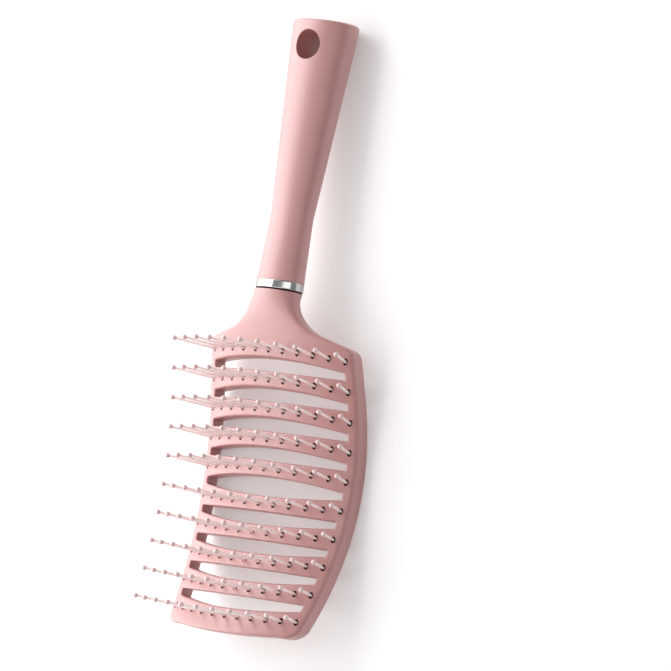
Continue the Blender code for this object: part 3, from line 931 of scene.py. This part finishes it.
class BRUSH_OT_ferrule_ring(bpy.types.Operator):
    """Build the bright ring between the neck and the handle"""

    bl_idname = "brush.ferrule_ring"
    bl_label = "Ferrule ring"

    def execute(self, context):
        head, handle = context.scene.brush_head, context.scene.brush_handle
        item = new_object("neck_ring", lambda bm: ferrule_ring_mesh(bm, head, handle),
                          finished(bright_ring_metal), finished(dark_socket_plastic))
        dress(item, "ring_metal", "ferrule_ring")
        return {"FINISHED"}


def grip_mouth(head, handle):
    """Place of the handle's mouth, at the ring."""
    return head.neck_at + handle.ring_length + 2 * head.fit


def grip_end(head, handle):
    """Place of the handle's cut-off end."""
    return grip_mouth(head, handle) + handle.grip_length


def grip_width(handle, place):
    """The handle's width at a distance from its mouth: two cones that meet softly at the waist."""
    first = (handle.waist_width - handle.mouth_width) / handle.waist_at
    flare = handle.grip_length - handle.flare_end
    second = (handle.end_width - handle.edge / 2 - handle.waist_width) / (flare - handle.waist_at)
    offset = place - handle.waist_at
    soft = handle.waist_radius / 2
    if abs(offset) < soft:
        bend = (second - first) * (offset**2 + soft**2) / (4 * soft)
        return handle.waist_width + (first + second) / 2 * offset + bend
    if place > flare:
        last = handle.edge / 2 / (handle.flare_end - handle.edge)
        return handle.waist_width + second * (flare - handle.waist_at) + last * (place - flare)
    return handle.waist_width + (first if offset < 0 else second) * offset


def handle_grip_mesh(bm, head, handle):
    """The handle as ovals from its bore's bottom, round its mouth, to its end."""
    mouth = grip_mouth(head, handle)
    straight = handle.grip_length - handle.edge
    steps = math.ceil(straight / LINE_SPACING)
    places = [straight * step / steps for step in range(steps + 1)]
    profile = [(place, grip_width(handle, place)) for place in places]
    full = profile.pop()[1]
    profile += [(place, full + 2 * reach)
                for place, reach in rounded_edge(straight, handle.edge, 0)]
    rings = [oval_ring(bm, mouth + place, width, width * handle.flatness)
             for place, width in profile]
    bore = handle.waist_width - 2 * handle.wall
    inner = [oval_ring(bm, mouth + place, bore, bore * handle.flatness)
             for place in (handle.bore, 0)]
    rings = inner + rings
    for a, b in zip(rings, rings[1:]):
        strip_faces(bm, a, b, True)
    bm.faces.new(rings[0])
    bm.faces.new(rings[-1])


def hanging_hole_mesh(bm, head, handle):
    """The cutter of the hanging hole."""
    y = grip_end(head, handle) - handle.hole_from_end
    reach = handle.end_width * handle.flatness / 2 + OVERRUN
    profile = [(-reach, handle.hole / 2), (reach, handle.hole / 2)]
    turned_solid(bm, Vector((0, y, 0)), Vector((0, 0, 1)), profile, HANGING_HOLE_SIDES)


def round_hole_edge(item, handle):
    """Rounds the sharp edges that the hanging hole leaves."""
    modifier = item.modifiers.new("hole edge", "BEVEL")
    modifier.width = handle.hole_edge
    modifier.segments = HOLE_EDGE_STEPS
    modifier.limit_method = "ANGLE"
    modifier.angle_limit = BEVEL_ANGLE
    apply_modifiers(item)


class BRUSH_OT_handle_grip(bpy.types.Operator):
    """Build the flared handle with its hanging hole"""

    bl_idname = "brush.handle_grip"
    bl_label = "Handle"

    def execute(self, context):
        head, handle = context.scene.brush_head, context.scene.brush_handle
        item = new_object("handle", lambda bm: handle_grip_mesh(bm, head, handle),
                          finished(pink_moulded_plastic))
        cut(item, new_object("hole", lambda bm: hanging_hole_mesh(bm, head, handle)))
        round_hole_edge(item, handle)
        dress(item, "body_plastic", "handle_grip")
        return {"FINISHED"}


def new_material(name):
    """A new material with its node tree and its shader."""
    material = bpy.data.materials.new(name)
    material.use_nodes = True
    return material, material.node_tree, material.node_tree.nodes["Principled BSDF"]


def finished(kind):
    """The material that a function describes, made the first time it is asked for."""
    material = bpy.data.materials.get(kind.__name__)
    if not material:
        material, tree, shader = new_material(kind.__name__)
        kind(tree, shader, bpy.context.scene.brush_finish)
    return material


def set_inputs(shader, values):
    """Sets inputs of a shader from their names and values."""
    for name, value in values.items():
        shader.inputs[name].default_value = value


def noise(tree, size, detail):
    """Noise of this feature size in the object's own space."""
    place = tree.nodes.new("ShaderNodeTexCoord")
    texture = tree.nodes.new("ShaderNodeTexNoise")
    texture.inputs["Scale"].default_value = 1 / size
    texture.inputs["Detail"].default_value = detail
    tree.links.new(place.outputs["Object"], texture.inputs["Vector"])
    return texture.outputs["Fac"]


def vary(tree, shader, name, size, detail, low, high):
    """Lets noise of this feature size move an input between two colours or two values."""
    node = tree.nodes.new("ShaderNodeValToRGB")
    for end, value, place in zip(node.color_ramp.elements, (low, high), RAMP_ENDS):
        end.color = (value, value, value, 1) if isinstance(value, float) else (*value, 1)
        end.position = place
    tree.links.new(noise(tree, size, detail), node.inputs["Fac"])
    tree.links.new(node.outputs["Color"], shader.inputs[name])


def grain_bump(tree, shader, size, strength, distance):
    """A fine grain in the surface."""
    bump = tree.nodes.new("ShaderNodeBump")
    bump.inputs["Strength"].default_value = strength
    bump.inputs["Distance"].default_value = distance
    tree.links.new(noise(tree, size, 2), bump.inputs["Height"])
    tree.links.new(bump.outputs["Normal"], shader.inputs["Normal"])


def pink_moulded_plastic(tree, shader, finish):
    """Pink satin plastic with a slow drift of colour, uneven gloss and a fine grain."""
    vary(tree, shader, "Base Color", finish.drift, 3, finish.body_dark, finish.body)
    vary(tree, shader, "Roughness", finish.drift / 8, 4,
         finish.body_roughness - MOULDED_SPREAD, finish.body_roughness + MOULDED_SPREAD)
    set_inputs(shader, MOULDED_INPUTS)
    grain_bump(tree, shader, finish.grain, *MOULDED_GRAIN)


def pink_pin_plastic(tree, shader, finish):
    """Light, slightly see-through plastic of the pins."""
    vary(tree, shader, "Base Color", finish.drift / 6, 2, finish.pin,
         mix(finish.pin, WHITE, 0.12))
    set_inputs(shader, {"Roughness": finish.pin_roughness, **PIN_INPUTS})
    grain_bump(tree, shader, finish.grain, *PIN_GRAIN)


def dark_socket_plastic(tree, shader, finish):
    """Painted shade: a near-black colour standing in for the shade inside the pins' sockets and
    channels, on the strips behind them, and in the seam under the ring.
    """
    vary(tree, shader, "Base Color", finish.drift / 10, 2, mix(finish.socket, BLACK, 0.3),
         finish.socket)
    set_inputs(shader, PAINTED_SHADE_INPUTS)


def mauve_ball_dip(tree, shader, finish):
    """Gloss of the pins' ball ends, in a darker, greyer colour than the pins' plastic: painted
    shade.
    """
    vary(tree, shader, "Base Color", finish.drift / 10, 2, finish.ball,
         mix(finish.ball, WHITE, 0.08))
    set_inputs(shader, {"Roughness": finish.ball_roughness, **BALL_INPUTS})


def bright_ring_metal(tree, shader, finish):
    """Polished silver metal with faint turning marks."""
    vary(tree, shader, "Base Color", finish.drift / 6, 2, mix(finish.metal, BLACK, 0.06),
         finish.metal)
    vary(tree, shader, "Roughness", finish.grain * 2, 3,
         finish.metal_roughness, finish.metal_roughness + METAL_SPREAD)
    set_inputs(shader, METAL_INPUTS)


def softbox(name, size, power, turn, distance, shift):
    """A soft rectangular light, turned about the handle's axis from straight above."""
    data = bpy.data.lights.new(name, "AREA")
    data.shape = "RECTANGLE"
    data.size, data.size_y = size
    data.energy = power
    item = bpy.data.objects.new(name, data)
    away = Vector((math.sin(turn), 0, math.cos(turn))) * distance
    item.location = away + Vector((0, shift, 0))
    item.rotation_euler = (-item.location).to_track_quat("-Z", "Y").to_euler()
    item.visible_camera = False
    bpy.context.scene.collection.objects.link(item)


def camera_matrix(studio, to_model):
    """The camera's place and turn: it circles the handle's axis, then leans and rolls."""
    away = Vector((math.sin(studio.yaw) * math.cos(studio.tilt), -math.sin(studio.tilt),
                   math.cos(studio.yaw) * math.cos(studio.tilt)))
    level = Vector((0, 1, 0)).cross(away).normalized()
    upright = away.cross(level)
    right = level * math.cos(studio.roll) + upright * math.sin(studio.roll)
    up = upright * math.cos(studio.roll) - level * math.sin(studio.roll)
    origin = Vector((0, -studio.origin_back, studio.origin_up))
    eye = origin + away * studio.distance
    target = origin + right * studio.aim_right + up * studio.aim_up
    back = (eye - target).normalized()
    right = (right - back * right.dot(back)).normalized()
    turn = Matrix((right, back.cross(right), back)).transposed().to_4x4()
    return to_model @ Matrix.Translation(eye) @ turn


def pale_floor(studio):
    """A plain floor that glows a little, so that it stays pale in the shade."""
    bpy.ops.mesh.primitive_grid_add(x_subdivisions=FLOOR_CELLS, y_subdivisions=FLOOR_CELLS,
                                    size=FLOOR_SIZE)
    floor = bpy.context.active_object
    floor.name = "studio_floor"
    material, tree, shader = new_material("pale_floor_paper")
    vary(tree, shader, "Base Color", FLOOR_DRIFT, 2, mix(studio.floor, BLACK, 0.01),
         studio.floor)
    set_inputs(shader, {"Emission Strength": studio.floor_glow, **FLOOR_INPUTS})
    floor.data.materials.append(material)


def even_sky(studio):
    """The same soft light from all sides."""
    world = bpy.data.worlds.new("studio_light")
    world.use_nodes = True
    set_inputs(world.node_tree.nodes["Background"], {"Color": SKY, "Strength": studio.world})
    bpy.context.scene.world = world


def photo_camera(studio, matrix):
    """The camera at the photograph's angle."""
    data = bpy.data.cameras.new("photo_camera")
    data.lens = studio.focal
    data.sensor_width = SENSOR_WIDTH
    data.clip_end = VIEW_END
    camera = bpy.data.objects.new("photo_camera", data)
    camera.matrix_world = matrix
    bpy.context.scene.collection.objects.link(camera)
    bpy.context.scene.camera = camera


class BRUSH_OT_studio(bpy.types.Operator):
    """Set the floor, the soft light and the camera"""

    bl_idname = "brush.studio"
    bl_label = "Studio"

    def execute(self, context):
        scene = context.scene
        studio = scene.brush_studio
        pale_floor(studio)
        even_sky(studio)
        photo_camera(studio, camera_matrix(
            studio, brush_to_model(scene.brush_handle, scene.brush_head)))
        for name, power, turn, size, shift in SOFTBOXES:
            softbox(name, size, getattr(studio, power), getattr(studio, turn),
                    studio.light_distance, shift)
        scene.view_settings.view_transform = "Standard"
        return {"FINISHED"}


class BRUSH_PT_panel(bpy.types.Panel):
    """Sizes, finishes and steps of the hairbrush"""

    bl_idname = "BRUSH_PT_panel"
    bl_label = "Hairbrush"
    bl_space_type = "VIEW_3D"
    bl_region_type = "UI"
    bl_category = "Hairbrush"

    def draw(self, context):
        for step in STEPS:
            self.layout.operator(step.bl_idname)
        for name, group in GROUPS.items():
            box = self.layout.box()
            box.label(text=group.__doc__)
            for prop in group.__annotations__:
                box.prop(getattr(context.scene, name), prop)


STEPS = (BRUSH_OT_head_frame, BRUSH_OT_rear_cover, BRUSH_OT_pin_strips, BRUSH_OT_ferrule_ring,
         BRUSH_OT_handle_grip, BRUSH_OT_studio)
GROUPS = {"brush_head": BrushHead, "brush_pins": BrushPins, "brush_handle": BrushHandle,
          "brush_finish": BrushFinish, "brush_studio": BrushStudio}
CLASSES = (*GROUPS.values(), *STEPS, BRUSH_PT_panel)


def register():
    """Adds the classes, and the groups of sizes and colours to the scene."""
    for cls in CLASSES:
        bpy.utils.register_class(cls)
    for name, group in GROUPS.items():
        setattr(bpy.types.Scene, name, PointerProperty(type=group))


def unregister():
    """Takes the groups and the classes away again."""
    for name in GROUPS:
        delattr(bpy.types.Scene, name)
    for cls in reversed(CLASSES):
        bpy.utils.unregister_class(cls)


def main():
    """Builds and dresses every piece and sets the studio."""
    register()
    for step in STEPS:
        area, name = step.bl_idname.split(".")
        getattr(getattr(bpy.ops, area), name)()


if __name__ == "__main__":
    main()
